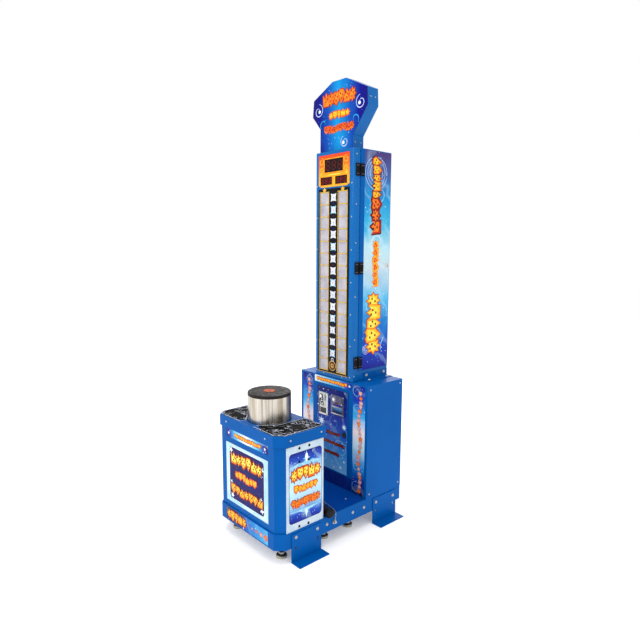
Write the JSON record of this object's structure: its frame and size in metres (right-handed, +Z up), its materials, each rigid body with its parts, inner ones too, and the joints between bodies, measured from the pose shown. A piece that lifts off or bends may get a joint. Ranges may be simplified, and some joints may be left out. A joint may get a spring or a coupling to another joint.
{
  "type": "mallet strength tester",
  "caption": "Coin-operated fairground strength tester: a padded post to strike with a mallet, and a tall column with lamp windows and a score display.",
  "frame": {"origin": "on the floor, under the middle of the machine's bounding box", "axes": "+X to the machine's right as its front is faced, +Y from its front to its back, +Z up"},
  "size_m": [0.634, 0.83, 2.254],
  "materials": {
    "paint_blue": "gloss royal-blue powder coat on folded sheet steel",
    "print_dark": "printed vinyl over blue-coated sheet steel",
    "print_light": "printed vinyl panel, white and pale-blue frame",
    "steel": "brushed stainless steel",
    "zinc": "zinc-plated steel",
    "chrome": "polished chrome plate",
    "brass": "turned bronze-brass",
    "rubber": "black rubber, slightly worn",
    "black_gloss": "black gloss plastic",
    "black_print": "printed black polycarbonate",
    "orange_print": "orange printed polycarbonate",
    "lens": "pale diffuser windows on a lamp board",
    "black_metal": "black-coated steel",
    "board": "green glass-fibre circuit board",
    "wood": "varnished ash, straight grain",
    "marker": "orange-red target sticker disc"
  },
  "bodies": {
    "machine": {"strike_housing": "paint_blue", "strike_lid": "paint_blue", "step_mat_right": "rubber", "step_mat_left": "rubber", "front_panel": "print_light", "side_panel_right": "print_light", "side_panel_left": "print_light", "guide_beam": "zinc", "guide_bush": "brass", "stop_buffer": "rubber", "strike_spring": "zinc", "impact_sensor": "black_gloss", "base_frame": "paint_blue", "platform_plate": "print_dark", "outrigger_front_right": "paint_blue", "outrigger_front_left": "paint_blue", "outrigger_rear_right": "paint_blue", "outrigger_rear_left": "paint_blue", "tether_lug": "zinc", "tether_cable": "zinc", "cabinet_shell": "paint_blue", "cash_box": "zinc", "power_supply": "zinc", "control_board": "board", "power_inlet": "black_gloss", "column_shell": "paint_blue", "column_flange": "paint_blue", "display_panel": "orange_print", "display_board": "black_print", "light_panel": "black_print", "light_board": "lens", "column_hinge_low": "black_metal", "column_hinge_middle": "black_metal", "column_hinge_high": "black_metal", "marquee_box": "paint_blue", "marquee_face": "print_dark"},
    "striker": {"strike_sleeve": "steel", "strike_pad": "rubber", "target_disc": "marker", "plunger_shaft": "zinc"},
    "mallet": {"mallet_head": "rubber", "mallet_handle": "wood", "mallet_grip": "rubber"},
    "coin_door_leaf": {"coin_door": "print_dark", "coin_plate_left": "chrome", "coin_plate_right": "chrome"},
    "left_reject": {"reject_button_left": "chrome"},
    "right_reject": {"reject_button_right": "chrome"},
    "left_flap": {"return_flap_left": "black_gloss"},
    "right_flap": {"return_flap_right": "black_gloss"},
    "lock_barrel": {"door_lock": "black_gloss"},
    "column_door_leaf": {"column_door": "print_dark"},
    "foot_front_right_screw": {"foot_front_right": "rubber"},
    "foot_front_left_screw": {"foot_front_left": "rubber"},
    "foot_mid_right_screw": {"foot_mid_right": "rubber"},
    "foot_mid_left_screw": {"foot_mid_left": "rubber"},
    "foot_step_right_screw": {"foot_step_right": "rubber"},
    "foot_step_left_screw": {"foot_step_left": "rubber"},
    "foot_rear_right_screw": {"foot_rear_right": "rubber"},
    "foot_rear_left_screw": {"foot_rear_left": "rubber"}
  },
  "joints": [
    {"name": "strike_slide", "type": "slide", "parent": "machine", "child": "striker", "axis": [0, 0, -1], "range_m": [0, 0.04], "stiffness_N_per_m": 4000, "springref_m": -0.03, "deforming": ["strike_spring"]},
    {"name": "mallet_tip", "type": "hinge", "parent": "machine", "child": "mallet", "pos_m": [-0.212, -0.0465, 0.2006], "axis": [-0.1392, -0.9903, 0], "range_deg": [0, 94]},
    {"name": "coin_door_hinge", "type": "hinge", "parent": "machine", "child": "coin_door_leaf", "pos_m": [-0.12, 0.1437, 0.454], "axis": [0, 0, -1], "range_deg": [0, 90]},
    {"name": "lock_turn", "type": "hinge", "parent": "coin_door_leaf", "child": "lock_barrel", "pos_m": [0.096, 0.14, 0.45], "axis": [0, 1, 0], "range_deg": [0, 90]},
    {"name": "reject_press_left", "type": "slide", "parent": "coin_door_leaf", "child": "left_reject", "axis": [0, 1, 0], "range_m": [0, 0.003], "stiffness_N_per_m": 400, "springref_m": -0.002},
    {"name": "flap_swing_left", "type": "hinge", "parent": "coin_door_leaf", "child": "left_flap", "pos_m": [-0.0625, 0.1414, 0.563], "axis": [1, 0, 0], "range_deg": [0, 70]},
    {"name": "reject_press_right", "type": "slide", "parent": "coin_door_leaf", "child": "right_reject", "axis": [0, 1, 0], "range_m": [0, 0.003], "stiffness_N_per_m": 400, "springref_m": -0.002},
    {"name": "flap_swing_right", "type": "hinge", "parent": "coin_door_leaf", "child": "right_flap", "pos_m": [0.0465, 0.1414, 0.583], "axis": [1, 0, 0], "range_deg": [0, 70]},
    {"name": "column_door_hinge", "type": "hinge", "parent": "machine", "child": "column_door_leaf", "pos_m": [0.1526, 0.185, 1.324], "axis": [0, 0, -1], "range_deg": [0, 110]},
    {"name": "level_front_right", "type": "slide", "parent": "machine", "child": "foot_front_right_screw", "axis": [0, 0, 1], "range_m": [0, 0.02]},
    {"name": "level_front_left", "type": "slide", "parent": "machine", "child": "foot_front_left_screw", "axis": [0, 0, 1], "range_m": [0, 0.02]},
    {"name": "level_mid_right", "type": "slide", "parent": "machine", "child": "foot_mid_right_screw", "axis": [0, 0, 1], "range_m": [0, 0.02]},
    {"name": "level_mid_left", "type": "slide", "parent": "machine", "child": "foot_mid_left_screw", "axis": [0, 0, 1], "range_m": [0, 0.02]},
    {"name": "level_step_right", "type": "slide", "parent": "machine", "child": "foot_step_right_screw", "axis": [0, 0, 1], "range_m": [0, 0.02]},
    {"name": "level_step_left", "type": "slide", "parent": "machine", "child": "foot_step_left_screw", "axis": [0, 0, 1], "range_m": [0, 0.02]},
    {"name": "level_rear_right", "type": "slide", "parent": "machine", "child": "foot_rear_right_screw", "axis": [0, 0, 1], "range_m": [0, 0.02]},
    {"name": "level_rear_left", "type": "slide", "parent": "machine", "child": "foot_rear_left_screw", "axis": [0, 0, 1], "range_m": [0, 0.02]}
  ]
}
